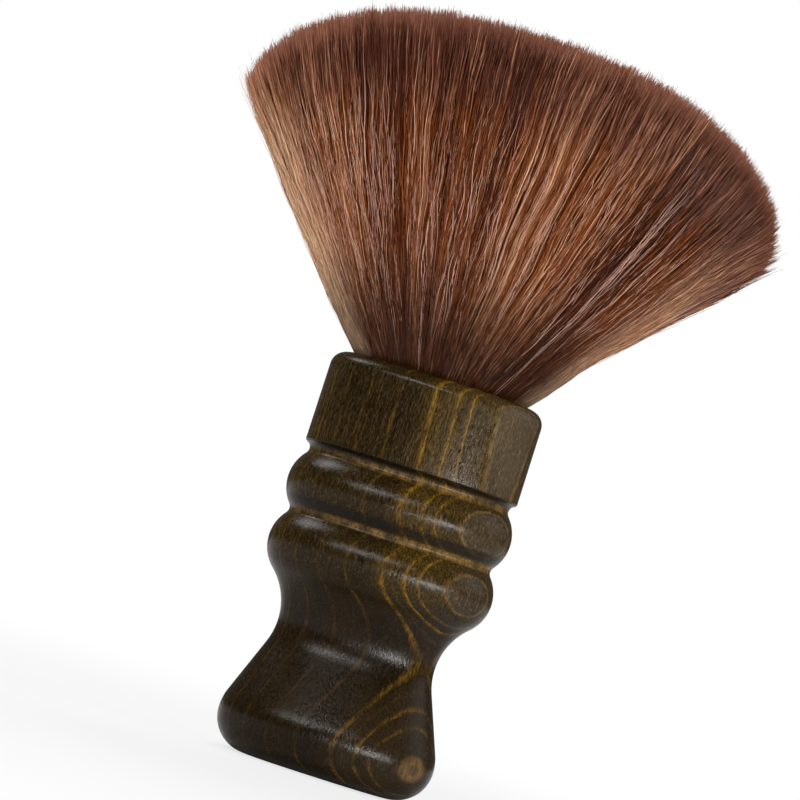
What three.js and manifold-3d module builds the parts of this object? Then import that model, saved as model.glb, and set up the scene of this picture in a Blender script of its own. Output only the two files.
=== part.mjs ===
// Neck duster brush: a moulded oval wooden handle with a fan of soft filaments glued into its top.
// Millimetres. Z is up along the brush, X is its width and Y its depth; the front faces -Y.
// The origin is the middle of the flat foot that the brush stands on.
import * as THREE from "three";
import { mergeVertices } from "three/addons/utils/BufferGeometryUtils.js";
import Module from "manifold-3d";

// ---- Sizes of the handle ----
const blankHalfWidth = 23.3; // the oval that the cutter runs round, at the crest of the beads
const blankHalfDepth = 14.6;
const ovalFullness = 2.4; // 2 is an ellipse, more is squarer
const footRound = 7.4; // radius of the rounded lower edge
const footCut = 1; // how deep the cutter goes at the widest part of the foot
const swellRadius = 10; // the foot's curve above its widest part
const flareRise = 19.6; // from the widest part of the foot up to the waist
const waistCut = 6.9;
const waistRadius = 13;
const beadRadius = 8.2;
const beadPitch = 12.4; // from one bead to the next
const grooveRadius = 1.5;
const grooveCut = 2.4; // the groove under the collar
const collarCut = 1.1;
const collarHeight = 19.2;
const rimRound = 3;

// ---- Sizes of the socket and what is glued into it ----
const socketWall = 3.8;
const socketDepth = 16;
const fitGap = 0.3; // clearance round each piece in the socket
const glueWall = 0.9;
const glueFloor = 1.5;
const glueStep = 1.2; // the glue ends this far under the top of the root
const rootRecess = 2.4; // the bonded root ends this far under the rim
const rootSplit = 0.3; // the cut between one slice of the root and the next
const rootSlices = ["bristles_front", "bristles_mid_front", "bristles_mid_back", "bristles_back"];

// ---- Sizes of the fan of filaments ----
const fanHeight = 73; // the longest tips above the rim
const fanHalfWidth = 56.2; // at the two corners of the fan, over the outermost locks
const fanHalfDepth = 21;
const fanLean = 43.8; // degrees, the outermost filaments where they leave the rim
const cornerDrop = 25.4; // the corners' tips lie this far under the middle ones
const cornerSharpness = 2.4; // how late the arc of tips turns down
const domeDrop = 6; // the front and back tips lie this far under the middle ones
const strandPitch = 1.34; // between the locks of a row, at the root
const rowPitch = 1.02; // between the rows of locks, at the root
const strandRootRadius = 0.32;
const strandMouthRadius = 0.44;
const strandFill = 0.46; // a lock's greatest radius, as a share of the distance between rows there
const strandFullShare = 0.92; // how far up its length a lock is thickest
const strandTipRadius = 0.5;
const strandEmbed = 1; // how deep a lock runs into the root

// ---- How finely curves are stepped ----
const handleSides = 56;
const socketSides = 40;
const arcStep = Math.PI / 14;

const wasm = await Module();
wasm.setup();

const wood = new THREE.MeshStandardMaterial({ color: 0x3a2a12, roughness: 0.35, metalness: 0 });
const resin = new THREE.MeshStandardMaterial({ color: 0xb79a5c, roughness: 0.4, metalness: 0 });
const filament = new THREE.MeshStandardMaterial({ color: 0x8a5233, roughness: 0.55, metalness: 0 });

// ---- Solids ----

function toSolid(geometry) {
  const bare = geometry.index ? geometry.toNonIndexed() : geometry.clone();
  bare.deleteAttribute("normal");
  bare.deleteAttribute("uv");
  const merged = mergeVertices(bare, 1e-4);
  return new wasm.Manifold(
    new wasm.Mesh({
      numProp: 3,
      vertProperties: Float32Array.from(merged.attributes.position.array),
      triVerts: Uint32Array.from(merged.index.array),
    }),
  );
}

function toGeometry(solid) {
  const mesh = solid.getMesh();
  const positions = new Float32Array(mesh.numVert * 3);
  for (let i = 0; i < mesh.numVert; i++) {
    positions.set(mesh.vertProperties.subarray(i * mesh.numProp, i * mesh.numProp + 3), i * 3);
  }
  const geometry = new THREE.BufferGeometry();
  geometry.setAttribute("position", new THREE.BufferAttribute(positions, 3));
  geometry.setIndex(new THREE.BufferAttribute(Uint32Array.from(mesh.triVerts), 1));
  geometry.computeVertexNormals();
  return geometry;
}

// A closed skin over rings of equally many points, from the lowest ring to the highest,
// each ring running anticlockwise seen from above.
function skin(rings) {
  const sides = rings[0].length;
  const positions = rings.flat().flatMap((p) => [p.x, p.y, p.z]);
  const faces = [];
  for (let r = 0; r + 1 < rings.length; r++) {
    for (let i = 0; i < sides; i++) {
      const a = r * sides + i;
      const b = r * sides + ((i + 1) % sides);
      faces.push(a, b, a + sides, b, b + sides, a + sides);
    }
  }
  const top = (rings.length - 1) * sides;
  for (let i = 1; i + 1 < sides; i++) {
    faces.push(0, i + 1, i);
    faces.push(top, top + i, top + i + 1);
  }
  const geometry = new THREE.BufferGeometry();
  geometry.setAttribute("position", new THREE.Float32BufferAttribute(positions, 3));
  geometry.setIndex(faces);
  return geometry;
}

// ---- The oval that every section of the brush follows ----

class Oval extends THREE.Curve {
  constructor(halfWidth, halfDepth) {
    super();
    this.halfWidth = halfWidth;
    this.halfDepth = halfDepth;
  }

  getPoint(t, target = new THREE.Vector3()) {
    const angle = t * 2 * Math.PI;
    const full = (value) => Math.sign(value) * Math.abs(value) ** (2 / ovalFullness);
    return target.set(this.halfWidth * full(Math.cos(angle)), this.halfDepth * full(Math.sin(angle)), 0);
  }
}

// The blank's oval, cut in by the same depth all round.
function ovalInside(cut) {
  return new Oval(blankHalfWidth - cut, blankHalfDepth - cut);
}

function ovalRing(cut, height, sides) {
  const oval = ovalInside(cut);
  return Array.from({ length: sides }, (_, i) => oval.getPoint(i / sides).setZ(height));
}

function ovalPrism(cut, bottom, top) {
  return toSolid(skin([ovalRing(cut, bottom, socketSides), ovalRing(cut, top, socketSides)]));
}

// ---- The cutter's profile: x is minus the depth of cut, y the height ----

function arc(centre, radius, from, to) {
  const steps = Math.max(2, Math.ceil(Math.abs(to - from) / arcStep));
  return Array.from({ length: steps + 1 }, (_, i) => {
    const angle = from + ((to - from) * i) / steps;
    return new THREE.Vector2(centre.x + radius * Math.cos(angle), centre.y + radius * Math.sin(angle));
  });
}

const angleTo = (from, to) => Math.atan2(to.y - from.y, to.x - from.x);

// The cutter's path round a swelling or into a hollow, between the middles of its neighbours.
const crest = (centre, radius, below, above) =>
  arc(centre, radius, angleTo(centre, below), angleTo(centre, above)).slice(1);
const hollow = (centre, radius, below, above) =>
  arc(centre, radius, angleTo(centre, below) + 2 * Math.PI, angleTo(centre, above)).slice(1);

// The height between two circles that touch, from how far apart they are sideways.
const touchingRise = (radii, sideways) => Math.sqrt(radii ** 2 - sideways ** 2);

const swellCentre = new THREE.Vector2(-footCut - swellRadius, footRound);
const waistCentre = new THREE.Vector2(-waistCut + waistRadius, footRound + flareRise);
const lowerBead = new THREE.Vector2(
  -beadRadius,
  waistCentre.y + touchingRise(beadRadius + waistRadius, waistCentre.x + beadRadius),
);
const upperBead = new THREE.Vector2(-beadRadius, lowerBead.y + beadPitch);
const midGroove = new THREE.Vector2(
  -beadRadius + touchingRise(beadRadius + grooveRadius, beadPitch / 2),
  lowerBead.y + beadPitch / 2,
);
const topGroove = new THREE.Vector2(
  -grooveCut + grooveRadius,
  upperBead.y + touchingRise(beadRadius + grooveRadius, grooveRadius - grooveCut + beadRadius),
);
const collarFoot = new THREE.Vector2(
  -collarCut,
  topGroove.y + touchingRise(grooveRadius, topGroove.x + collarCut),
);
const handleHeight = collarFoot.y + collarHeight;

// The straight flare is the line that touches the foot's swell and the waist from either side.
const flareTilt =
  angleTo(swellCentre, waistCentre) -
  Math.acos((swellRadius + waistRadius) / swellCentre.distanceTo(waistCentre));

function cutterProfile() {
  const footCentre = new THREE.Vector2(-footCut - footRound, footRound);
  const rimCentre = new THREE.Vector2(-collarCut - rimRound, handleHeight - rimRound);
  return [
    ...arc(footCentre, footRound, -Math.PI / 2, 0),
    ...arc(swellCentre, swellRadius, 0, flareTilt).slice(1),
    ...arc(waistCentre, waistRadius, Math.PI + flareTilt, angleTo(waistCentre, lowerBead)),
    ...crest(lowerBead, beadRadius, waistCentre, midGroove),
    ...hollow(midGroove, grooveRadius, lowerBead, upperBead),
    ...crest(upperBead, beadRadius, midGroove, topGroove),
    ...hollow(topGroove, grooveRadius, upperBead, collarFoot),
    ...arc(rimCentre, rimRound, 0, Math.PI / 2),
  ];
}

// ---- The handle ----

const socketCut = collarCut + socketWall;
const socketFloor = handleHeight - socketDepth;

function makeHandle() {
  const rings = cutterProfile().map((p) => ovalRing(-p.x, p.y, handleSides));
  const body = toSolid(skin(rings));
  const socket = ovalPrism(socketCut, socketFloor, handleHeight + rimRound);
  return toGeometry(body.subtract(socket));
}

// ---- What is in the socket ----

const glueCut = socketCut + fitGap;
const rootCut = glueCut + glueWall + fitGap;
const rootBottom = socketFloor + fitGap + glueFloor + fitGap;
const rootTop = handleHeight - rootRecess;

function makeGlueBed() {
  const outside = ovalPrism(glueCut, socketFloor + fitGap, rootTop - glueStep);
  const inside = ovalPrism(glueCut + glueWall, rootBottom - fitGap, handleHeight);
  return toGeometry(outside.subtract(inside));
}

const rootHalfDepth = blankHalfDepth - rootCut;
const sliceDepth = (2 * rootHalfDepth) / rootSlices.length;
const sliceRows = Math.max(1, Math.round(sliceDepth / rowPitch));

// One slice of the root, counted from the front.
function rootSlice(index) {
  const box = new THREE.BoxGeometry(2 * blankHalfWidth, sliceDepth - rootSplit, 2 * handleHeight);
  box.translate(0, (index + 0.5) * sliceDepth - rootHalfDepth, handleHeight);
  return ovalPrism(rootCut, rootBottom, rootTop).intersect(toSolid(box));
}

// ---- The fan ----

// Half the fan's width and depth at a height above the rim.
const mouth = ovalInside(socketCut + fitGap + strandMouthRadius);
const cornerHeight = fanHeight - cornerDrop;
const edgeSlope = Math.tan(THREE.MathUtils.degToRad(fanLean));
const edgeBend = (mouth.halfWidth + edgeSlope * cornerHeight - fanHalfWidth) / cornerHeight ** 2;
const faceSlope = (fanHalfDepth - mouth.halfDepth) / (fanHeight - domeDrop);

function fanSpread(height) {
  const wide = mouth.halfWidth + edgeSlope * height - edgeBend * height ** 2;
  const deep = mouth.halfDepth + faceSlope * height;
  return new THREE.Vector2(wide, deep);
}

// Where the locks of one slice stand, in rows across the brush. Rows with an even and an odd
// number of locks take turns, so that each lock stands behind a gap of the row in front.
function strandPlaces(slice) {
  const reach = blankHalfWidth - rootCut - strandRootRadius;
  const places = [];
  for (let row = 0; row < sliceRows; row++) {
    const y = (slice + (row + 0.5) / sliceRows) * sliceDepth - rootHalfDepth;
    const through = y / rootHalfDepth;
    const halfRow = reach * (1 - Math.abs(through) ** ovalFullness) ** (1 / ovalFullness);
    const odd = (slice * sliceRows + row) % 2;
    const count = 2 * Math.max(1, Math.round(halfRow / strandPitch - odd / 2)) + odd;
    for (let i = 0; i < count; i++) {
      const x = halfRow * ((2 * i) / (count - 1) - 1);
      places.push({ across: x / reach, through, root: new THREE.Vector3(x, y, rootTop - strandEmbed) });
    }
  }
  return places;
}

function makeStrand({ across, through, root }, index) {
  const tip = fanHeight - cornerDrop * Math.abs(across) ** cornerSharpness - domeDrop * through ** 2;
  // The outermost locks touch the sides of the fan from within.
  const at = (height, inset) => {
    const spread = fanSpread(height);
    return new THREE.Vector3(across * (spread.x - inset), through * spread.y, handleHeight + height);
  };
  const full = tip * strandFullShare;
  const rowGap = (fanSpread(full).y / rootHalfDepth) * (sliceDepth / sliceRows);
  const fullRadius = strandFill * rowGap;
  const stations = [
    [root, strandRootRadius],
    [at(0, 0), strandMouthRadius],
    [at(full, fullRadius), fullRadius],
    [at(tip, strandTipRadius), strandTipRadius],
  ];
  const goldenTurn = 2.4; // turns each lock's faces away from its neighbours'
  const rings = stations.map(([centre, radius]) =>
    [0, 1, 2].map((corner) => {
      const angle = (corner * 2 * Math.PI) / 3 + index * goldenTurn;
      return new THREE.Vector3(radius * Math.cos(angle), radius * Math.sin(angle), 0).add(centre);
    }),
  );
  return toSolid(skin(rings));
}

function makeBristles(slice) {
  return toGeometry(wasm.Manifold.union([rootSlice(slice), ...strandPlaces(slice).map(makeStrand)]));
}

// ---- The assembly ----

const brush = new THREE.Group();

function add(name, geometry, material) {
  const mesh = new THREE.Mesh(geometry, material);
  mesh.name = name;
  brush.add(mesh);
}

add("handle", makeHandle(), wood);
add("glue_bed", makeGlueBed(), resin);

rootSlices.forEach((name, slice) => add(name, makeBristles(slice), filament));
console.log("handle " + handleHeight.toFixed(2) + " mm high");

export default brush;
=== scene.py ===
import math
import bpy
import numpy as np
from mathutils import Matrix, Vector


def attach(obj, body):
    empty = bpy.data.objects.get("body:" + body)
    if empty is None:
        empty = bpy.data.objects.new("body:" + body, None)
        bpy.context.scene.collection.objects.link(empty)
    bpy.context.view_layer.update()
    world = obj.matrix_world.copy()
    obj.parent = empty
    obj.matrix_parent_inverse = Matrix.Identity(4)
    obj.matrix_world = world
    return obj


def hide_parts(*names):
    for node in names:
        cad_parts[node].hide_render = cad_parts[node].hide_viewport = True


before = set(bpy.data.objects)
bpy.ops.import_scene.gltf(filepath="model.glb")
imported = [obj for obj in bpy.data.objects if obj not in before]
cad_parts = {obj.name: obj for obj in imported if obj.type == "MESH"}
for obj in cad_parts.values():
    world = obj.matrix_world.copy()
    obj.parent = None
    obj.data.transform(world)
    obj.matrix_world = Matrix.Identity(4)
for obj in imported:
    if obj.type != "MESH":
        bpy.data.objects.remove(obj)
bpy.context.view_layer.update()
scene = bpy.context.scene
scene.view_settings.view_transform = "Standard"
mm = 0.001


def deselectAll():
    if bpy.context.object and bpy.context.object.mode != "OBJECT":
        bpy.ops.object.mode_set(mode="OBJECT")
    bpy.ops.object.select_all(action="DESELECT")


def selectOnly(piece):
    deselectAll()
    piece.select_set(True)
    bpy.context.view_layer.objects.active = piece


def addDisc(sides, fill):
    deselectAll()
    bpy.ops.mesh.primitive_circle_add(vertices=sides, radius=1.0, fill_type=fill)
    return bpy.context.object


def startDrawing():
    # The disc becomes the underside of what is drawn up from it
    bpy.ops.object.mode_set(mode="EDIT")
    bpy.ops.mesh.select_all(action="SELECT")
    bpy.ops.mesh.flip_normals()


def drawUp(height, steps=1):
    for step in range(steps):
        bpy.ops.mesh.extrude_region_move(TRANSFORM_OT_translate={"value": (0, 0, height)})


def stopDrawing():
    bpy.ops.mesh.select_all(action="SELECT")
    bpy.ops.mesh.normals_make_consistent(inside=False)
    bpy.ops.object.mode_set(mode="OBJECT")


def finishPiece(piece, material, slot, *replaced):
    piece.data.materials.clear()
    piece.data.materials.append(material)
    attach(piece, "root")
    if replaced:
        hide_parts(*replaced)


def oval(value, power):
    # A power that keeps the sign; it bends a sine or cosine into that of a squarish oval
    return np.sign(value) * np.abs(value) ** power


def lookUp(table, place):
    # The value at a place in a table of places and values
    return np.interp(place, *np.array(table).T)


class Wire:
    # A number in a material: sums on it add Math nodes
    def __init__(self, finish, socket):
        self.finish = finish
        self.socket = socket

    def math(self, operation, *values, clamp=False):
        settings = {"operation": operation, "use_clamp": clamp}
        return self.finish.add("ShaderNodeMath", settings, dict(enumerate(values)))["Value"]

    def __add__(self, other):
        return self.math("ADD", self, other)

    def __radd__(self, other):
        return self.math("ADD", other, self)

    def __sub__(self, other):
        return self.math("SUBTRACT", self, other)

    def __rsub__(self, other):
        return self.math("SUBTRACT", other, self)

    def __mul__(self, other):
        return self.math("MULTIPLY", self, other)

    def __truediv__(self, other):
        return self.math("DIVIDE", self, other)

    def clamped(self):
        return self.math("ADD", self, 0.0, clamp=True)

    def smoothStep(self, low, high, fromValue=0.0, toValue=1.0):
        inputs = {"Value": self, "From Min": low, "From Max": high, "To Min": fromValue, "To Max": toValue}
        return self.finish.add("ShaderNodeMapRange", {"interpolation_type": "SMOOTHSTEP"}, inputs)["Result"]


class Added:
    # A node that was added, whose outputs are read by name or number
    def __init__(self, finish, node):
        self.finish = finish
        self.node = node

    def __getitem__(self, name):
        return Wire(self.finish, self.node.outputs[name])


class Finish:
    # The nodes of a material, or of the world, under construction
    def __init__(self, owner):
        self.owner = owner
        owner.use_nodes = True
        self.tree = owner.node_tree
        self.tree.nodes.clear()

    def add(self, kind, settings=None, inputs=None):
        node = self.tree.nodes.new(kind)
        for key, value in (settings or {}).items():
            if key == "stops":
                self.setStops(node.color_ramp, value)
            else:
                setattr(node, key, value)
        for key, value in (inputs or {}).items():
            self.feed(node.inputs[key], value)
        return Added(self, node)

    def setStops(self, ramp, stops):
        for place, tint in stops[2:]:
            ramp.elements.new(place)
        for element, (place, tint) in zip(ramp.elements, sorted(stops, key=lambda stop: stop[0])):
            element.position = place
            element.color = (*tint, 1.0)

    def feed(self, socket, value):
        if isinstance(value, Wire):
            self.tree.links.new(value.socket, socket)
        elif socket.type == "RGBA":
            socket.default_value = (*value, 1.0)
        else:
            socket.default_value = value

    def split(self, vector):
        return self.add("ShaderNodeSeparateXYZ", inputs={"Vector": vector})

    def noise(self, vector, detail, roughness=0.5, scale=1.0):
        inputs = {"Vector": vector, "Scale": scale, "Detail": detail, "Roughness": roughness}
        return self.add("ShaderNodeTexNoise", {"noise_dimensions": "3D"}, inputs)["Fac"]

    def vector(self, x, y, z):
        return self.add("ShaderNodeCombineXYZ", inputs={"X": x, "Y": y, "Z": z})["Vector"]

    def ramp(self, stops, place):
        return self.add("ShaderNodeValToRGB", {"stops": stops}, {"Fac": place})["Color"]

    def mix(self, amount, first, second):
        # The Mix node keeps its colours at sockets 6 and 7 and gives their mix at output 2
        return self.add("ShaderNodeMix", {"data_type": "RGBA"}, {0: amount, 6: first, 7: second})[2]

    def bump(self, strength, distance, height):
        inputs = {"Strength": strength, "Distance": distance, "Height": height}
        return self.add("ShaderNodeBump", inputs=inputs)["Normal"]

    def close(self, **inputs):
        named = {key.replace("_", " "): value for key, value in inputs.items()}
        shader = self.add("ShaderNodeBsdfPrincipled", inputs=named)
        self.add("ShaderNodeOutputMaterial", inputs={"Surface": shader["BSDF"]})
        return self.owner


def colour(red, green, blue):
    # A colour as seen on screen, out of 255, as a light-linear colour
    def linear(value):
        value = value / 255
        return value / 12.92 if value <= 0.04045 else ((value + 0.055) / 1.055) ** 2.4
    return (linear(red), linear(green), linear(blue))


view = {
    "distance": 520 * mm,
    "target": Vector((-6.6, 0.0, 76.3)) * mm,
    "elevation": -5.0,  # it looks up a little
    "roll": 17.8,  # the brush leans to the right in the picture
    "lens": 116.5,
    "clipStart": 0.01,
}


def makeCamera():
    cameraData = bpy.data.cameras.new("camera")
    camera = bpy.data.objects.new("camera", cameraData)
    scene.collection.objects.link(camera)
    elevation = math.radians(view["elevation"])
    roll = math.radians(view["roll"])
    back = Vector((0.0, -math.cos(elevation), math.sin(elevation)))
    level = Vector((1.0, 0.0, 0.0))
    upright = back.cross(level)
    right = level * math.cos(roll) + upright * math.sin(roll)
    up = upright * math.cos(roll) - level * math.sin(roll)
    turned = Matrix((right, up, back)).transposed().to_4x4()
    camera.matrix_world = Matrix.Translation(view["target"] + back * view["distance"]) @ turned
    cameraData.lens = view["lens"]
    cameraData.clip_start = view["clipStart"]
    scene.camera = camera


makeCamera()
print("camera ready")


handle = {
    "halfWidth": 23.3,  # of the blank, in millimetres, at the crest of the beads
    "halfDepth": 14.6,
    "fullness": 2.4,  # 2 is an ellipse, more is squarer
    "footRound": 7.4,
    "footCut": 1.0,
    "swellRadius": 10.0,
    "flareRise": 19.6,
    "waistCut": 6.9,
    "waistRadius": 13.0,
    "beadRadius": 8.2,
    "beadPitch": 12.4,
    "grooveRadius": 1.5,
    "grooveCut": 2.4,
    "grooveEnd": 108.0,  # degrees: the upper groove stops here, under the collar's edge
    "collarCut": 1.1,
    "collarHeight": 19.2,
    "collarEdge": 0.35,  # the collar's lower edge is just broken
    "edgeStart": -80.0,  # degrees
    "rimRound": 3.0,
    "wall": 3.8,
    "lipRound": 0.4,
    "socketDepth": 16.0,
    "sides": 168,
    "arcStep": 5.0,  # degrees
    "flareSteps": (0.2, 0.4, 0.6, 0.8),
    "collarSteps": (0.15, 0.35, 0.55, 0.75, 0.92),
    "smoothAngle": 40.0,  # degrees
}


def arc(centre, radius, start, end):
    steps = max(2, math.ceil(abs(math.degrees(end - start)) / handle["arcStep"]))
    angles = np.linspace(start, end, steps + 1)
    return [(centre[0] + radius * math.cos(a), centre[1] + radius * math.sin(a)) for a in angles]


def angleTo(start, end):
    return math.atan2(end[1] - start[1], end[0] - start[0])


def touchingRise(radii, sideways):
    return math.sqrt(radii ** 2 - sideways ** 2)


def handleProfile():
    # The cutter's path as (minus the depth of cut, height), from the foot to the socket's floor
    h = handle
    bead, groove, waist, swell = h["beadRadius"], h["grooveRadius"], h["waistRadius"], h["swellRadius"]
    footAt = (-h["footCut"] - h["footRound"], h["footRound"])
    swellAt = (-h["footCut"] - swell, h["footRound"])
    waistAt = (waist - h["waistCut"], h["footRound"] + h["flareRise"])
    lowerAt = (-bead, waistAt[1] + touchingRise(bead + waist, waistAt[0] + bead))
    upperAt = (-bead, lowerAt[1] + h["beadPitch"])
    middle = h["beadPitch"] / 2
    midAt = (-bead + touchingRise(bead + groove, middle), lowerAt[1] + middle)
    topX = groove - h["grooveCut"]
    topAt = (topX, upperAt[1] + touchingRise(bead + groove, topX + bead))
    edge = h["collarEdge"]
    collarFoot = topAt[1] + touchingRise(groove, topX + h["collarCut"])
    height = collarFoot + h["collarHeight"]
    tilt = angleTo(swellAt, waistAt) - math.acos((swell + waist) / math.dist(swellAt, waistAt))
    rimAt = (-h["collarCut"] - h["rimRound"], height - h["rimRound"])
    edgeAt = (-h["collarCut"] - edge, collarFoot + edge)
    fullTurn = 2 * math.pi
    path = arc(footAt, h["footRound"], -math.pi / 2, 0)
    path += arc(swellAt, swell, 0, tilt)[1:]
    flareStart = path[-1]
    flareEnd = (waistAt[0] + waist * math.cos(math.pi + tilt), waistAt[1] + waist * math.sin(math.pi + tilt))
    for share in h["flareSteps"]:
        path.append(tuple(a + (b - a) * share for a, b in zip(flareStart, flareEnd)))
    path += arc(waistAt, waist, math.pi + tilt, angleTo(waistAt, lowerAt))
    path += arc(lowerAt, bead, angleTo(lowerAt, waistAt), angleTo(lowerAt, midAt))[1:]
    path += arc(midAt, groove, angleTo(midAt, lowerAt) + fullTurn, angleTo(midAt, upperAt))[1:]
    path += arc(upperAt, bead, angleTo(upperAt, midAt), angleTo(upperAt, topAt))[1:]
    path += arc(topAt, groove, angleTo(topAt, upperAt) + fullTurn, math.radians(h["grooveEnd"]))[1:]
    path += arc(edgeAt, edge, math.radians(h["edgeStart"]), 0)
    for share in h["collarSteps"]:
        path.append((-h["collarCut"], edgeAt[1] + (rimAt[1] - edgeAt[1]) * share))
    path += arc(rimAt, h["rimRound"], 0, math.pi / 2)
    lip = h["lipRound"]
    lipAt = (-h["collarCut"] - h["wall"] + lip, height - lip)
    path += arc(lipAt, lip, math.pi / 2, math.pi)[1:]
    path.append((-h["collarCut"] - h["wall"], height - h["socketDepth"]))
    return path, height


def extrudeOval(name, path, sides):
    # An oval is laid flat, then drawn up step by step and pressed in at each step
    piece = addDisc(sides, "NGON")
    piece.name = piece.data.name = name
    angles = np.arange(sides) * 2 * math.pi / sides
    power = 2 / handle["fullness"]
    wide, deep = handle["halfWidth"], handle["halfDepth"]
    cut, start = -path[0][0], path[0][1]
    x = (wide - cut) * oval(np.cos(angles), power)
    y = (deep - cut) * oval(np.sin(angles), power)
    for vertex, place in zip(piece.data.vertices, np.stack([x, y, np.full(sides, start)], axis=1) * mm):
        vertex.co = place
    startDrawing()
    for (cutA, zA), (cutB, zB) in zip(path, path[1:]):
        drawUp((zB - zA) * mm)
        pressed = ((wide + cutB) / (wide + cutA), (deep + cutB) / (deep + cutA), 1.0)
        bpy.ops.transform.resize(value=pressed, center_override=(0, 0, zB * mm))
    stopDrawing()
    return piece


handlePath, handleHeight = handleProfile()
handlePiece = extrudeOval("moulded_handle", handlePath, handle["sides"])
selectOnly(handlePiece)
bpy.ops.object.shade_smooth_by_angle(angle=math.radians(handle["smoothAngle"]))
print("handle", round(handleHeight, 2), "mm high,", len(handlePiece.data.polygons), "faces")


wood = {
    "layerTurn": 52.7,  # degrees from the width to the front, the way across the growth layers
    "layerBend": (-5.05, 9.75, -4.10),  # how the layers wander with height, in millimetres
    "bendHeight": 80.0,
    "layerReach": 27.0,  # the layers run from minus this to this
    "layerSplit": 9.0,  # a ramp holds few stops, so one serves the layers up to here and one the rest
    # growth lines: place across the layers in millimetres, width, strength
    "lines": [
        (-23.6, 0.3, 0.5), (-20.4, 0.25, 0.8), (-16.9, 0.3, 0.5), (-13.7, 0.25, 0.9), (-9.8, 0.3, 0.6),
        (-6.2, 0.25, 0.7), (-2.1, 0.3, 0.35), (2.2, 0.25, 0.35), (6.6, 0.3, 0.45), (11.3, 0.3, 1.0),
        (12.6, 0.15, 0.25), (13.94, 0.22, 0.9), (15.4, 0.16, 0.75), (17.8, 0.13, 1.0), (18.5, 0.1, 0.3),
        (20.9, 0.3, 0.6), (23.6, 0.3, 0.5),
    ],
    "lineSides": (1.5, 0.6),  # in widths: a line comes on slowly and ends sharply
    # place, ochre haze, greyness
    "zones": [
        (-27.0, 0.2, 0.4), (-18.0, 0.55, 0.1), (-15.0, 0.1, 0.0), (-9.0, 0.6, 0.2), (-5.0, 0.1, 0.1),
        (3.0, 0.12, 0.0), (9.0, 0.15, 0.0), (10.8, 0.55, 0.05), (11.6, 0.8, 0.1), (12.2, 0.45, 0.2),
        (14.0, 0.7, 0.2), (15.6, 0.5, 0.3), (17.7, 0.5, 0.3), (17.9, 0.08, 0.95), (22.0, 0.15, 0.7),
        (27.0, 0.4, 0.4),
    ],
    # patterns: steps per millimetre across the grain and along it, detail, roughness
    "patterns": {
        "wander": (0.09, 0.05, 2.0, 0.5),
        "ragged": (1.6, 0.3, 2.0, 0.5),
        "streaks": (2.6, 0.16, 4.0, 0.62),
        "flecks": (3.2, 0.7, 3.0, 0.6),
        "speckle": (5.0, 1.1, 2.0, 0.6),
        "clouds": (0.13, 0.06, 3.0, 0.5),
        "patches": (0.5, 0.3, 2.0, 0.5),
    },
    # heights in millimetres between which the look changes
    "spotTop": (16.0, 12.0),
    "footTop": (16.0, 30.0),
    "flare": (26.0, 39.0),
    "linesRise": (20.0, 42.0),
    "beadsRise": (32.0, 45.0),
    "collarRise": (61.0, 65.0),
    # lighter tan bands on the floors of the grooves, partly worn stain and partly painted light on the
    # slopes that face up, and bands of painted shade just above them, under the collar's edge and under the
    # upper bead: from, to, softness
    "rubbed": [(60.4, 61.8, 0.35), (48.3, 49.7, 0.35)],
    "pooled": [(62.1, 63.2, 0.3), (50.0, 51.8, 0.5)],
    "dark": colour(32, 21, 3),
    "deep": colour(14, 7, 1),
    # colour of the painted shade under the collar's edge and under the upper bead
    "pool": colour(14, 9, 4),
    # grey of the end grain, with painted sheen in it
    "grey": colour(66, 53, 36),
    "side": colour(86, 72, 55),  # painted sheen: the collar's narrow side is lighter and greyer, as if it caught a glancing reflection
    "flank": colour(46, 41, 45),  # painted reflection: a darker blue-grey on the flare, where it faces down
    "ochre": colour(166, 120, 34),
    "haze": colour(98, 72, 0),
    "pale": colour(164, 146, 114),
    # tan of the groove bands, partly worn stain and partly painted light
    "worn": colour(146, 112, 60),
    "glint": colour(112, 92, 58),
    "spot": colour(134, 104, 66),
    "bump": (0.6, 0.00006),
}


def layerShare(place):
    # A place across the layers as a place on a ramp
    return (place + wood["layerReach"]) / (2 * wood["layerReach"])


def layerStops(low, high):
    # Red holds the growth lines, green the ochre haze beside them and blue the greyness
    zones = np.array(wood["zones"])
    before, after = wood["lineSides"]
    stops = [(low, 0.0), (high, 0.0)]
    for middle, width, strength in wood["lines"]:
        if low <= middle < high:
            stops += [(middle - before * width, 0.0), (middle, strength), (middle + after * width, 0.0)]
    haze, greyness = zones[:, :2], zones[:, ::2]
    return [(layerShare(at), (value, lookUp(haze, at), lookUp(greyness, at))) for at, value in stops]


def bandAt(z, low, high, soft):
    return z.smoothStep(low - soft, low + soft) * z.smoothStep(high + soft, high - soft)


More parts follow.
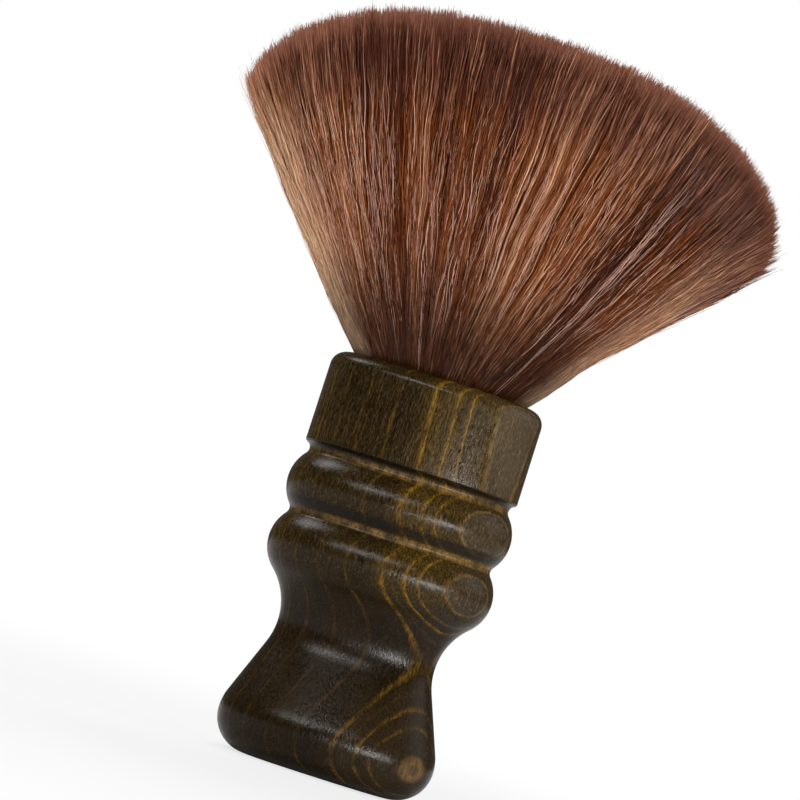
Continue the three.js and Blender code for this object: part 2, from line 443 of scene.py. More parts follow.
def makeWood():
    w = wood
    f = Finish(bpy.data.materials.new("stained_wood"))
    apart = f.split(f.add("ShaderNodeTexCoord")["Object"])
    x, y, z = (apart[axis] * 1000.0 for axis in "XYZ")  # in millimetres
    pattern = {}
    for name, (over, up, detail, roughness) in w["patterns"].items():
        pattern[name] = f.noise(f.vector(x * over, y * over, z * up), detail, roughness)
    streaks, flecks, speckle = pattern["streaks"], pattern["flecks"], pattern["speckle"]
    clouds, patches = pattern["clouds"], pattern["patches"]
    ragged = pattern["ragged"] - 0.5

    # growth layers, which run on through every bead and groove
    turn = math.radians(w["layerTurn"])
    rise = z / w["bendHeight"]
    first, second, third = w["layerBend"]
    across = x * math.cos(turn) - y * math.sin(turn) + rise * (first + rise * (second + rise * third))
    layer = across + (pattern["wander"] - 0.5) * 0.35 + ragged * 0.3
    reach, split = w["layerReach"], w["layerSplit"]
    hidden = f.ramp(layerStops(-reach, split), layerShare(layer))
    shown = f.ramp(layerStops(split, reach), layerShare(layer))
    picked = f.mix(layer.smoothStep(split - 0.1, split + 0.1), hidden, shown)
    parts = f.add("ShaderNodeSeparateColor", inputs={"Color": picked})
    lines, haze, greyness = parts["Red"], parts["Green"], parts["Blue"]

    # dark stain, greyer where the layers lie flat, that grey partly the wood's own end grain and partly
    # painted sheen, with an ochre haze
    tint = f.mix(clouds.smoothStep(0.3, 0.7, 0.35, 1.0), w["deep"], w["dark"])
    # painted reflection on the flare, and painted sheen on the collar's narrow side
    grey = f.mix(bandAt(z, *w["flare"], 3.0), w["grey"], w["flank"])
    grey = f.mix(z.smoothStep(*w["collarRise"]), grey, w["side"])
    tint = f.mix((greyness * clouds.smoothStep(0.2, 0.6, 0.6, 1.0)).clamped(), tint, grey)
    hazy = haze * z.smoothStep(*w["beadsRise"], 0.1, 1.0)
    hazy = hazy * flecks.smoothStep(0.3, 0.7, 0.3, 1.0) * streaks.smoothStep(0.34, 0.62, 0.4, 1.1)
    tint = f.mix(hazy.clamped(), tint, w["haze"])

    # growth lines, paler on the grey parts, and the spot on the foot's corner
    strong = lines * streaks.smoothStep(0.32, 0.58, 0.3, 1.0) * flecks.smoothStep(0.34, 0.55, 0.45, 1.0)
    strong = strong * patches.smoothStep(0.32, 0.62, 0.25, 1.0) * layer.smoothStep(3.0, 11.0, 0.5, 1.0)
    strong = strong * z.smoothStep(*w["linesRise"], 0.5, 1.0)
    strong = strong + lines * greyness.smoothStep(0.5, 0.9) * 0.4
    lineTint = f.mix(greyness.smoothStep(0.4, 0.8) * z.smoothStep(*w["footTop"]), w["ochre"], w["pale"])
    tint = f.mix(strong.clamped(), tint, lineTint)
    spot = z.smoothStep(*w["spotTop"]) * (across + ragged * 0.15).smoothStep(17.3, 17.8)
    spot = spot * across.smoothStep(17.88, 17.8, 0.35, 0.9) * streaks.smoothStep(0.35, 0.6, 0.4, 1.0)
    tint = f.mix((spot * 0.75).clamped(), tint, w["spot"])

    # light and dark pores
    light = speckle.smoothStep(0.5, 0.72) * 0.26 + streaks.smoothStep(0.52, 0.7) * 0.16
    light = light * z.smoothStep(*w["beadsRise"], 0.35, 1.0)
    tint = f.mix(light.clamped(), tint, f.mix(greyness, w["glint"], w["pale"]))
    dark = speckle.smoothStep(0.5, 0.3) * 0.55 + flecks.smoothStep(0.48, 0.32) * 0.45
    tint = f.mix((dark * greyness.smoothStep(0.4, 0.9, 1.0, 0.45)).clamped(), tint, w["deep"])

    # lighter tan bands on the groove floors, partly worn stain and partly painted light, fading towards the
    # left
    rubbed = bandAt(z, *w["rubbed"][0]) + bandAt(z, *w["rubbed"][1])
    rubbed = rubbed * speckle.smoothStep(0.34, 0.66, 0.25, 0.85) * patches.smoothStep(0.34, 0.64, 0.15, 1.0)
    rubbed = rubbed * across.smoothStep(-6.0, 10.0, 0.3, 1.0)
    tint = f.mix(rubbed.clamped(), tint, w["worn"])
    # painted shade under the collar's edge and under the upper bead
    pooled = bandAt(z, *w["pooled"][0]) + bandAt(z, *w["pooled"][1])
    tint = f.mix((pooled * 0.75).clamped(), tint, w["pool"])

    rough = 0.2 + (flecks - 0.5) * 0.2 + (speckle - 0.5) * 0.3 + (streaks - 0.5) * 0.2
    relief = streaks * 0.6 + flecks * 0.9 + speckle * 1.2 - strong * 0.2
    bump = f.bump(*w["bump"], relief)
    return f.close(Base_Color=tint, Roughness=rough.clamped(), Normal=bump, Specular_IOR_Level=0.19)


finishPiece(handlePiece, makeWood(), "stained_wood", "handle")
print("wood ready")


socketShare = 0.04  # what a filament has in the socket, as a share of its length above the rim
fan = {
    "height": 73.0,  # the longest tips above the rim, in millimetres
    "halfWidth": 56.2,
    "halfDepth": 21.0,
    "lean": 43.8,  # degrees
    "cornerDrop": 25.4,
    "cornerSharpness": 2.4,
    "domeDrop": 6.0,
    "ragged": 0.3,  # how unevenly the tips end, and by how much more on the outside
    "edgeRagged": 0.7,
    "cornerShort": 0.25,
    "feather": (-3.0, 3.0),  # how much shorter or longer the tips at the front and back edges are
    "mouth": (17.7, 9.0),
    "root": (16.7, 8.1),
    "rootTop": -2.4,  # under the rim
    "fullness": 2.4,
    "spacing": 0.25,  # between tips
    "innerSpacing": 0.29,
    "skin": 0.92,  # filaments outside this share of the bundle are modelled most finely
    "under": 0.84,  # and those between here and the skin in fewer steps
    "skinShares": (-socketShare, 0.02, 0.09, 0.16, 0.23, 0.3, 0.37, 0.44, 0.51, 0.58, 0.65, 0.72, 0.79,
                   0.86, 0.93, 1.0),
    "underShares": (-socketShare, 0.1, 0.3, 0.5, 0.75, 1.0),
    "tipShares": (0.8, 1.0),  # the inner ones show only near their tips
    # height above the rim, then how far the left and the right side stand out there
    "sides": ((0, 0.0, 0.0), (4, -0.3, -0.6), (10, -0.8, -2.2), (14, -1.0, -2.4), (18, -1.1, -2.0),
              (24, -1.3, -1.8), (30, -1.2, -1.5), (36, -0.8, -0.5), (41, -0.1, -0.2), (46, 0.4, 1.3),
              (51, 0.4, 1.3), (56, 0.0, 0.2)),
    "sideFrom": 0.5,  # only filaments outside this share of the width follow the sides
    "corner": (0.9, 0.1),  # where a corner begins and how wide it is, as shares of the half width
    "splayOut": 4.3,  # the right corner is splayed, and its tips lie lower
    "splayBend": 2.5,
    "splayDrop": 5.2,
    # radius by share
    "thickness": ((-socketShare, 0.045), (0.0, 0.05), (0.4, 0.085), (0.7, 0.1), (0.93, 0.1),
                  (0.98, 0.075), (1.0, 0.025)),
    "unevenThickness": (0.8, 0.4),  # the thinnest filament's share, and how much more the thickest has
    # painted light and shade: lighter and darker parts, from one side to the other, as light falls across
    # the fan and shines through its left edge
    "tones": ((-1.0, 1.5), (-0.93, 1.15), (-0.85, 0.86), (-0.72, 0.8), (-0.63, 0.66), (-0.55, 0.54),
              (-0.35, 0.52), (-0.15, 0.4), (-0.05, 0.42), (0.05, 0.72), (0.15, 0.84), (0.28, 0.7),
              (0.45, 0.6), (0.55, 0.24), (0.65, 0.22), (0.75, 0.38), (0.88, 0.56), (1.0, 0.85)),
    # painted light and shade on the tips, from one side to the other, lighter on the right where they catch
    # more light
    "tipTones": ((-1.0, 1.3), (-0.95, 1.1), (-0.87, 0.74), (-0.65, 0.64), (-0.55, 0.53), (-0.35, 0.54),
                 (-0.15, 0.42), (-0.05, 0.46), (0.05, 0.66), (0.15, 0.76), (0.45, 0.7), (0.55, 0.6),
                 (0.65, 0.62), (0.75, 0.7), (0.88, 0.72), (1.0, 0.9)),
    "tipTonesFrom": ((0.74, 0.0), (0.9, 1.0)),
    # how unevenly the filaments' tones fall, from one side to the other
    "unevenTones": ((-0.9, 0.56), (-0.6, 0.26)),
    "unevenTips": ((0.0, 0.25), (0.6, 0.36)),
    "seed": 41,
}
locks = {
    "pitch": (2.1, 1.7),  # millimetres between the middles of locks
    "reach": 0.99,  # no middle lies outside this share of the bundle
    "blur": 0.12,  # millimetres, where one lock ends and the next begins
    "pull": (0.25, 0.55),  # least, and how much more
    "toneSpread": 0.11,
    "toneLimit": 0.3,
    "tipToneShare": 0.7,  # of a lock's tone shows at its tips
    "riseSpread": 0.25,  # millimetres
    "liftSpread": 0.22,
    # how far the filaments of a lock draw together, by share of their length
    "gather": ((-socketShare, 0.0), (0.0, 0.1), (0.15, 0.35), (0.45, 0.6), (0.7, 0.5), (0.88, 0.2),
               (1.0, 0.03)),
    "pullByDepth": ((1.2, 1.0), (3.0, 0.35)),  # less so deep in the bundle
    # waves: shortest, longest, height; two sideways and one to the front
    "waves": ((16, 34, 0.32), (9, 16, 0.13), (14, 30, 0.25)),
    "ownWave": (7, 16, 0.15),  # of single filaments
    "kinks": 0.03,
    "drift": 0.4,  # millimetres sideways at the tip
    "strays": 0.12,  # this share of the filaments drifts further
    "strayDrift": 1.1,
    "tuftPitch": 0.7,  # small tufts of tips
    "tuftCells": 64,  # the pattern of tufts repeats after so many
    "tuftShift": 0.35,
    "tuftBlur": 0.25,
    "tuftRise": (2.2, -0.5),  # millimetres by shift, and for all
    "tuft": ((-socketShare, 0.0), (0.6, 0.0), (0.85, 0.15), (0.97, 0.3), (1.0, 0.5)),
    # how freely a filament wanders, by share of its length
    "freedom": ((-socketShare, 0.0), (0.0, 0.12), (0.2, 0.8), (0.6, 1.0), (0.85, 0.8), (1.0, 0.5)),
}
slope = math.tan(math.radians(fan["lean"]))
cornerHeight = fan["height"] - fan["cornerDrop"]
bend = (fan["mouth"][0] + slope * cornerHeight - fan["halfWidth"]) / cornerHeight ** 2
faceSlope = (fan["halfDepth"] - fan["mouth"][1]) / (fan["height"] - fan["domeDrop"])
dice = np.random.default_rng(fan["seed"])
anyTurn = 6.3  # radians, about a full turn


def tipHeight(s, t):
    return fan["height"] - fan["cornerDrop"] * np.abs(s) ** fan["cornerSharpness"] - fan["domeDrop"] * t ** 2


def heightAt(shares, high):
    # Height above the rim, or under it in the socket
    return np.where(shares > 0, shares * high, -shares / socketShare * fan["rootTop"])


def fanPoint(s, t, h):
    # Where the filament at the share (s, t) of the bundle is at the height h above the rim
    under = np.clip(h / fan["rootTop"], 0, 1)
    up = np.maximum(h, 0)
    wide = fan["mouth"][0] + (fan["root"][0] - fan["mouth"][0]) * under + slope * up - bend * up ** 2
    deep = fan["mouth"][1] + (fan["root"][1] - fan["mouth"][1]) * under + faceSlope * up
    return np.stack([s * wide, t * deep, handleHeight + h], axis=-1)


def cornerShare(s):
    start, width = fan["corner"]
    return np.clip((s - start) / width, 0, 1)


def splayAt(s, shares, h):
    # How far a filament is pushed to the right
    heights, left, right = np.array(fan["sides"]).T
    outward = np.where(s > 0, np.interp(h, heights, right), -np.interp(h, heights, left))
    leaning = outward * np.clip((np.abs(s) - fan["sideFrom"]) / (1 - fan["sideFrom"]), 0, 1) ** 2
    return leaning + cornerShare(s) * fan["splayOut"] * np.clip(shares, 0, 1) ** fan["splayBend"]


def outwardShare(s, t):
    return (np.abs(s) ** fan["fullness"] + np.abs(t) ** fan["fullness"]) ** (1 / fan["fullness"])


def depthAt(s, t):
    # How far under the bundle's surface a tip is, in millimetres
    power = fan["fullness"] - 1
    steepness = np.hypot(np.abs(s) ** power / fan["halfWidth"], np.abs(t) ** power / fan["halfDepth"])
    return (1 - outwardShare(s, t)) / steepness


def scatter(stepX, stepY):
    # Evenly scattered shares of the bundle
    stepS, stepT = stepX / fan["halfWidth"], stepY / fan["halfDepth"]
    s, t = np.meshgrid(np.arange(-1, 1, stepS), np.arange(-1, 1, stepT), indexing="ij")
    s = (s + dice.random(s.shape) * stepS).ravel()
    t = (t + dice.random(t.shape) * stepT).ravel()
    return s, t, outwardShare(s, t)


def waveSet(count, low, high, size):
    # A wave along the length for each of count locks or filaments: size, length and start
    sizes = size * (0.4 + 0.9 * dice.random(count))
    lengths = low + (high - low) * dice.random(count)
    starts = dice.random(count) * anyTurn
    return sizes, lengths, starts


def waveAt(waves, which, along):
    size, length, start = (values[which][:, None] for values in waves)
    return size * np.sin(2 * math.pi * along / length + start)


def modelFilament(rings):
    # One filament with three sides, drawn up ring by ring; its copies are shaped below
    pattern = addDisc(3, "NGON")
    startDrawing()
    drawUp(1.0, rings - 1)
    stopDrawing()
    corners = np.array([v.co for v in pattern.data.vertices])
    faces = [tuple(p.vertices) for p in pattern.data.polygons]
    bpy.data.objects.remove(pattern)
    return corners, faces


def bendCopies(lines, radii, angle, ringOf):
    # lines: places by filament and ring; every copy of the pattern is set round its own line
    ahead = np.gradient(lines, axis=1)
    ahead /= np.linalg.norm(ahead, axis=2, keepdims=True)
    side = np.cross(np.array([0.0, 1.0, 0.0]), ahead)
    side /= np.linalg.norm(side, axis=2, keepdims=True)
    front = np.cross(ahead, side)
    turned = angle[None, :] + (dice.random(len(lines)) * 2 * math.pi)[:, None]
    radius = radii[:, ringOf]
    places = lines[:, ringOf] + side[:, ringOf] * (radius * np.cos(turned))[..., None]
    return (places + front[:, ringOf] * (radius * np.sin(turned))[..., None]) * mm


def copyFaces(faces, corners, count):
    # The loops and the numbers of corners of all the copies' faces: triangles first, then the rest
    loops, totals = [], []
    for width in (3, 4):
        part = np.array([face for face in faces if len(face) == width])
        loops.append((part[None] + np.arange(count)[:, None, None] * corners).reshape(-1))
        totals.append(np.full(len(loops[-1]) // width, width))
    return np.concatenate(loops), np.concatenate(totals)


def stripMap(count, angle, ringOf):
    # Each filament has its own upright strip of the flat map
    rows = 4
    columns = math.ceil(count / rows)
    number = np.arange(count)[:, None]
    u = (number % columns + 0.5 + 0.4 * np.cos(angle + 0.3)[None]) / columns
    rise = 0.92 * ringOf / ringOf.max() + 0.02 * np.sin(angle + 0.3)
    v = (number // columns + 0.04 + rise[None]) / rows
    return np.stack([u * np.ones_like(v), v * np.ones_like(u)], axis=-1).reshape(-1, 2)


def storeFacts(mesh, facts):
    # What the finish reads, written on every corner
    for label, values in facts.items():
        attribute = mesh.attributes.new(label, "FLOAT_VECTOR", "POINT")
        attribute.data.foreach_set("vector", values.astype(np.float32).ravel())


def copyFilaments(name, lines, radii, facts):
    corners, faces = modelFilament(lines.shape[1])
    count = len(lines)
    ringOf = np.rint(corners[:, 2]).astype(int)
    angle = np.arctan2(corners[:, 1], corners[:, 0])
    places = bendCopies(lines, radii, angle, ringOf)
    loops, totals = copyFaces(faces, len(corners), count)
    mesh = bpy.data.meshes.new(name)
    mesh.vertices.add(count * len(corners))
    mesh.vertices.foreach_set("co", places.astype(np.float32).ravel())
    mesh.loops.add(len(loops))
    mesh.loops.foreach_set("vertex_index", loops.astype(np.int32))
    mesh.polygons.add(len(totals))
    mesh.polygons.foreach_set("loop_start", (np.cumsum(totals) - totals).astype(np.int32))
    mesh.polygons.foreach_set("use_smooth", np.ones(len(totals), bool))
    mesh.update(calc_edges=True)
    storeFacts(mesh, {label: values[:, ringOf] for label, values in facts.items()})
    layer = mesh.uv_layers.new(name="OFBake")
    layer.data.foreach_set("uv", stripMap(count, angle, ringOf)[loops].astype(np.float32).ravel())
    piece = bpy.data.objects.new(name, mesh)
    scene.collection.objects.link(piece)
    triangles = sum(len(p.vertices) - 2 for p in mesh.polygons)
    print(name, count, "filaments,", triangles, "triangles")
    finishPiece(piece, filamentFinish, "filament")


lockS, lockT, lockOut = scatter(*locks["pitch"])
inside = lockOut < locks["reach"]
lockS, lockT = lockS[inside], lockT[inside]
lockCount = len(lockS)
lockPull = locks["pull"][0] + locks["pull"][1] * dice.random(lockCount)
lockTone = dice.normal(size=lockCount) * locks["toneSpread"]
lockTone = np.clip(lockTone, -locks["toneLimit"], locks["toneLimit"])
lockRise = dice.normal(size=lockCount) * locks["riseSpread"]
tuftShift = dice.random((locks["tuftCells"], locks["tuftCells"], 3)) * 2 * locks["tuftShift"]
tuftShift = tuftShift - locks["tuftShift"]
lockLift = dice.normal(size=lockCount) * locks["liftSpread"]
lockWaves = [waveSet(lockCount, *wave) for wave in locks["waves"]]


def nearestLock(tipX, tipY):
    apartX = tipX[:, None] + dice.normal(size=(len(tipX), 1)) * locks["blur"] - lockS * fan["halfWidth"]
    apartY = tipY[:, None] + dice.normal(size=(len(tipX), 1)) * locks["blur"] - lockT * fan["halfDepth"]
    return np.argmin(apartX ** 2 + apartY ** 2, axis=1)


def tuftsOf(tips):
    # The middle of the small tuft that each tip leans to, and how much longer than others that tuft is
    blur = dice.normal(size=tips.shape) * locks["tuftBlur"]
    cells = np.floor(tips / locks["tuftPitch"] + blur).astype(int)
    shift = tuftShift[cells[0] % locks["tuftCells"], cells[1] % locks["tuftCells"]].T
    middle = (cells + 0.5 + shift[:2]) * locks["tuftPitch"]
    byShift, forAll = locks["tuftRise"]
    return middle[0] / fan["halfWidth"], middle[1] / fan["halfDepth"], shift[2] * byShift + forAll


def lengthsOf(s, t, near, tuftRise):
    # Tips above the rim: a dome that is a little ragged, most so at its edges and corners
    count = len(s)
    high = tipHeight(s, t) + dice.normal(size=count) * fan["ragged"] + lockRise[near] + tuftRise
    shorter, longer = fan["feather"]
    high = high + np.abs(t) ** 3 * (shorter + dice.random(count) ** 1.4 * (longer - shorter))
    edge = np.clip((outwardShare(s, t) - 0.6) * 2.5, 0, 1)
    high = high - edge * np.abs(dice.normal(size=count)) * fan["edgeRagged"]
    high = high * (1 - cornerShare(np.abs(s)) * dice.random(count) ** 3 * fan["cornerShort"])
    return high - cornerShare(s) * fan["splayDrop"]


def tonesOf(s, near, shares):
    # The tips are more alike than the filaments below them
    count = len(s)
    body = lookUp(fan["tones"], s) + lockTone[near] + dice.normal(size=count) * lookUp(fan["unevenTones"], s)
    tip = lookUp(fan["tipTones"], s) + lockTone[near] * locks["tipToneShare"]
    tip = tip + dice.normal(size=count) * lookUp(fan["unevenTips"], s)
    return body[:, None] + (tip - body)[:, None] * lookUp(fan["tipTonesFrom"], shares)


def factsFor(rise, high, tone, tipX, tipY, chance):
    # filament: share of the length, millimetres from the tip, tone; lock: where the tip is, a chance
    ones = np.ones((len(high), rise.shape[-1]))
    return {
        "filament": np.stack([rise * ones, (1 - rise) * high[:, None], tone * ones], axis=-1),
        "lock": np.stack([tipX[:, None] * ones, tipY[:, None] * ones, chance[:, None] * ones], axis=-1),
    }


def radiiAt(shares, count, thickness):
    least, more = fan["unevenThickness"]
    return lookUp(thickness, shares)[None, :] * (least + more * dice.random(count))[:, None]


def shapeFilaments(s, t, shares):
    count = len(s)
    tipX, tipY = s * fan["halfWidth"], t * fan["halfDepth"]
    tuftS, tuftT, tuftRise = tuftsOf(np.stack([tipX, tipY]))
    near = nearestLock(tipX, tipY)
    high = lengthsOf(s, t, near, tuftRise)
    h = heightAt(shares, high[:, None])
    along = shares * high[:, None]
    pull = lockPull[near] * lookUp(locks["pullByDepth"], depthAt(s, t))
    gather = lookUp(locks["gather"], shares)[None] * pull[:, None]
    free = lookUp(locks["freedom"], shares)[None]
    tuft = lookUp(locks["tuft"], shares)[None]
    bentS = s[:, None] + (lockS[near] - s)[:, None] * gather + (tuftS - s)[:, None] * tuft
    bentT = t[:, None] + (lockT[near] - t)[:, None] * gather + (tuftT - t)[:, None] * tuft
    line = fanPoint(bentS, bentT, h)
    own = waveSet(count, *locks["ownWave"])
    strays = np.where(dice.random(count) < locks["strays"], locks["strayDrift"], locks["drift"])[:, None]
    drift = dice.normal(size=(2, count, 1)) * strays * shares
    sideways = waveAt(lockWaves[0], near, along) + waveAt(lockWaves[1], near, along)
    kinks = dice.normal(size=line.shape[:2]) * locks["kinks"]
    sideways = sideways + waveAt(own, np.arange(count), along) + kinks
    line[..., 0] += (sideways + drift[0]) * free + splayAt(s[:, None], shares, h)
    lift = lockLift[near][:, None] * np.sign(t)[:, None]
    line[..., 1] += (waveAt(lockWaves[2], near, along) + drift[1] + lift) * free
    tone = tonesOf(s, near, shares)
    return line, factsFor(np.clip(shares, 0, 1), high, tone, tipX, tipY, dice.random(count))


def makeFilamentPiece(name, s, t, shares):
    shares = np.array(shares)
    order = np.lexsort((t, np.round(s, 2)))
    line, facts = shapeFilaments(s[order], t[order], shares)
    copyFilaments(name, line, radiiAt(shares, len(s), fan["thickness"]), facts)


filament = {
    # colours by tone
    "body": [(0.0, colour(62, 22, 5)), (0.2, colour(84, 36, 10)), (0.45, colour(114, 54, 18)),
             (0.7, colour(150, 80, 34)), (0.9, colour(182, 112, 66)), (1.3, colour(244, 196, 156))],
    "tip": [(0.0, colour(56, 22, 13)), (0.6, colour(104, 54, 37)), (1.3, colour(208, 146, 112))],
    "toneTop": 1.3,
    # painted light: the last millimetres of the tips are lighter, as light shines through them
    "tipEdge": colour(164, 100, 74),
    "tipGrey": colour(150, 114, 104),  # the tips on the right catch more light
    # the roots' own darker colour, which also paints the shade at the mouth
    "root": colour(56, 27, 12),
    # painted highlights on a few filaments and on the highlight locks
    "pale": colour(250, 200, 178),
    "side": colour(255, 216, 176),
    # in millimetres
    "tipBand": 12.5,
    "leftSide": (-43.0, -54.0),
    "rightSide": (45.0, 55.0),
}


def makeFilamentFinish():
    c = filament
    f = Finish(bpy.data.materials.new("soft_filament"))
    data = f.split(f.add("ShaderNodeAttribute", {"attribute_name": "filament"})["Vector"])
    spot = f.split(f.add("ShaderNodeAttribute", {"attribute_name": "lock"})["Vector"])
    rise, fromTip, tone = data["X"], data["Y"], data["Z"]
    tipX, tipY, chance = spot["X"], spot["Y"], spot["Z"]
    uneven = f.noise(f.vector(tipX * 0.5, tipY * 0.5, rise * 1.2), 3.0, 0.6) - 0.5
    broad = f.noise(f.vector(tipX * 0.07, tipY * 0.07, rise * 1.5), 2.0) - 0.5
    strokes = f.noise(f.vector(tipX * 3.0, tipY * 3.0, fromTip * 0.4), 1.0) - 0.5

    # the tone, from single strokes to broad clouds, picks a colour for the body and one for the tips
    shade = tone + uneven * fromTip.smoothStep(6.0, 24.0, 0.2, 0.5) + broad * 0.3
    shade = shade + strokes * fromTip.smoothStep(10.0, 30.0, 0.9, 0.5) * tipX.smoothStep(0.0, 35.0, 1.0, 1.5)
    body, tips = ([(place / c["toneTop"], tint) for place, tint in c[key]] for key in ("body", "tip"))
    tint = f.ramp(body, shade / c["toneTop"])
    dark = f.ramp(tips, shade / c["toneTop"])
    dark = f.mix(tipX.smoothStep(8.0, 45.0) * 0.12, dark, c["tipGrey"])
    edge = fromTip + (chance - 0.5) * 4.0 + uneven * 9.0 + tipX.smoothStep(-42.0, -54.0, 0.0, 8.0)
    band = edge.smoothStep(c["tipBand"] + 6.0, c["tipBand"] - 5.0)
    tint = f.mix(band, tint, dark)
    # painted light where light shines through the tips' ends
    tint = f.mix(fromTip.smoothStep(2.4, 0.1) * 0.6, tint, c["tipEdge"])
    # painted shade: darker towards the socket, where the filaments crowd together, mixed with the roots' own
    # darker colour
    tint = f.mix(rise.smoothStep(0.46, 0.02) * (0.92 - strokes * 1.6), tint, c["root"])

    # light passes through the thin left and right sides of the fan
    side = tipX.smoothStep(*c["rightSide"], 0.0, 0.26) + tipX.smoothStep(*c["leftSide"], 0.0, 0.42)
    side = side * fromTip.smoothStep(5.0, 18.0) * (1 + strokes * 1.8)
    tint = f.mix(side, tint, c["side"])

    # painted highlights: a few filaments are pale; most of them take the others' colour somewhere on the way
    # down
    paintedHighlight = chance.smoothStep(1.4, 1.6) + chance.smoothStep(0.94, 0.96) * chance.smoothStep(1.3, 1.2) * 0.8
    fades = (f.noise(f.vector(tipX * 1.3, tipY * 1.3, 0.0), 1.0) - 0.36) * 1.5
    paintedHighlight = paintedHighlight * fromTip.smoothStep(5.0, 20.0, 0.12, 1.0)
    paintedHighlight = paintedHighlight * (rise - fades).smoothStep(-0.06, 0.2, 0.04, 1.0)
    tint = f.mix(paintedHighlight * 0.85, tint, c["pale"])
    return f.close(Base_Color=tint, Roughness=0.35, Specular_IOR_Level=0.12)


filamentFinish = makeFilamentFinish()
allS, allT, outward = scatter(fan["spacing"], fan["spacing"])
around = np.arctan2(allT, allS)
skin = (outward > fan["skin"]) & (outward <= 1)
# where each sector starts, in sixths of a turn from the right over the back
sectors = {
    "back_right": 0, "back_middle": 1, "back_left": 2,
    "front_left": -3, "front_middle": -2, "front_right": -1,
}
for label, start in sectors.items():
    low = start * math.pi / 3
    mine = skin & (around >= low) & (around < low + math.pi / 3)
    makeFilamentPiece("filaments_" + label, allS[mine], allT[mine], fan["skinShares"])
under = (outward > fan["under"]) & (outward <= fan["skin"])
for label, mine in (("back", under & (allT >= 0)), ("front", under & (allT < 0))):
    makeFilamentPiece("filaments_under_" + label, allS[mine], allT[mine], fan["underShares"])
innerS, innerT, outward = scatter(fan["innerSpacing"], fan["innerSpacing"])
inner = outward <= fan["under"]
for index, (low, high) in enumerate([(-1, -0.25), (-0.25, 0.25), (0.25, 1)]):
    mine = inner & (innerS >= low) & (innerS < high)
    makeFilamentPiece("filament_tips_" + str(index + 1), innerS[mine], innerT[mine], fan["tipShares"])


# locks with painted highlights that lie over the others, and loose filaments, most of them at the two narrow
# sides
highlightLocks = {
    "count": 330,  # on each face
    "spread": 0.98,
    "moreLeft": 0.16,
    "uneven": 0.02,
    "extra": (0.4, 3),  # filaments in a lock beyond the first: scale and limit
    "apart": 0.002,
    "depth": 0.985,  # as a share of the bundle's
    "length": (0.5, 0.48),  # least, and how much more
    "unevenLength": 0.06,
    "lengthLimits": (0.3, 0.99),
    "lockWidth": (0.05, 0.03),  # millimetres, and how much more with more filaments
    "off": (0.02, 0.2),  # millimetres off the bundle: least, and how much more
    "waves": ((14, 34, 0.55), (5, 10, 0.2), (18, 36, 0.25)),
    "ownWave": (5, 12, 0.08),
    "thickness": 0.062,
    # chances above 1.4 give these filaments the painted highlight
    "paleness": (1.43, 0.24),
    "palerLeft": 0.06,
}
loose = {
    "count": 1250,
    "atSides": 0.75,  # share of them
    "turnSpread": 0.5,  # radians, round each side
    "sideLength": (0.4, 0.62),  # least, and how much more
    "faceLength": (0.7, 0.3),
    "waves": ((20, 50, 0.5), (8, 14, 0.2), (12, 30, 0.25)),
    "ownWave": (5, 10, 0.08),
    "spread": 0.2,
    "off": 0.15,  # millimetres off the bundle
    "sideFlare": 0.7,
    "faceFlare": 0.4,
    "thickness": 0.065,
    "chance": 1.2,
}
overlay = {
    "rings": 26,
    # thickness by share, in that of the thickest place
    "taper": ((0.0, 0.35), (0.5, 1.0), (0.8, 1.0), (1.0, 0.3)),
    "unevenTones": 0.2,
}


def layOver(name, s, t, reach, stray, chance, thickness):
    # stray: the lock of each filament, the waves, and how far its middle and its end stand off the bundle
    count = len(s)
    shares = np.linspace(0.0, 1.0, overlay["rings"])
    reach = reach[:, None] * shares
    high = tipHeight(s, t) - cornerShare(s) * fan["splayDrop"]
    along = reach * high[:, None]
    line = fanPoint(s[:, None], t[:, None], along)
    line[..., 0] += splayAt(s[:, None], reach, along)
    free = lookUp(locks["freedom"], reach)
    group, waves = stray["group"], stray["waves"]
    sideways = waveAt(waves[0], group, along) + waveAt(waves[1], group, along)
    sideways = sideways + waveAt(stray["own"], np.arange(count), along)
    line[..., 0] += (sideways + stray["spread"][0][:, None]) * free
    off = (stray["off"][:, None] + waveAt(waves[2], group, along) + stray["spread"][1][:, None]) * free
    off = off + stray["flare"][:, None] * shares ** 3
    power = fan["fullness"] - 1
    outward = np.stack([oval(s, power) / fan["halfWidth"], oval(t, power) / fan["halfDepth"]])
    outward /= np.linalg.norm(outward, axis=0)
    line[..., 0] += outward[0][:, None] * off
    line[..., 1] += outward[1][:, None] * off
    tone = (lookUp(fan["tones"], s) + dice.normal(size=count) * overlay["unevenTones"])[:, None]
    facts = factsFor(reach, high, tone, s * fan["halfWidth"], t * fan["halfDepth"], chance)
    radii = [(share, thickness * part) for share, part in overlay["taper"]]
    copyFilaments(name, line, radiiAt(shares, count, radii), facts)


